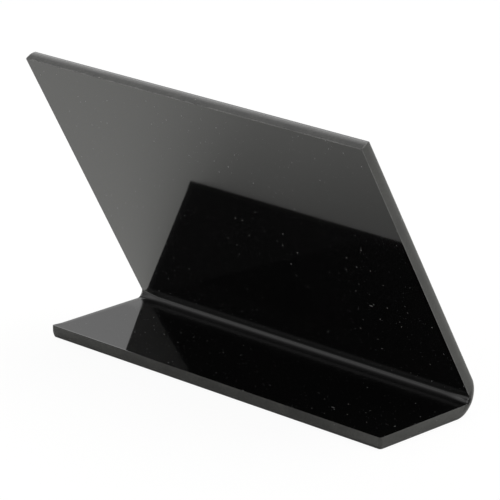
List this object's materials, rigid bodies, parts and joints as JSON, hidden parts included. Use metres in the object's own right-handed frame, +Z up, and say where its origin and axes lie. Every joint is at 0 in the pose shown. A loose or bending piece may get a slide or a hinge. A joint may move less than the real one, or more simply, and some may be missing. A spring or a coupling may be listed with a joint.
{
  "type": "table chalkboard sign",
  "caption": "Small free-standing table sign: a glossy black acrylic sheet bent to an acute angle, with a short foot under a leaning board whose outer face takes chalk pen.",
  "frame": {"origin": "middle of the sheet's box, on the surface that the foot stands on", "axes": "+X along the bend, +Y from the writing face towards the foot's free edge, +Z up"},
  "size_m": [0.1058, 0.0382, 0.071],
  "materials": {
    "black_acrylic": "polished sheet faces, satin machined edges"
  },
  "bodies": {
    "root": {"chalkboard_sheet": "black_acrylic"}
  },
  "joints": []
}
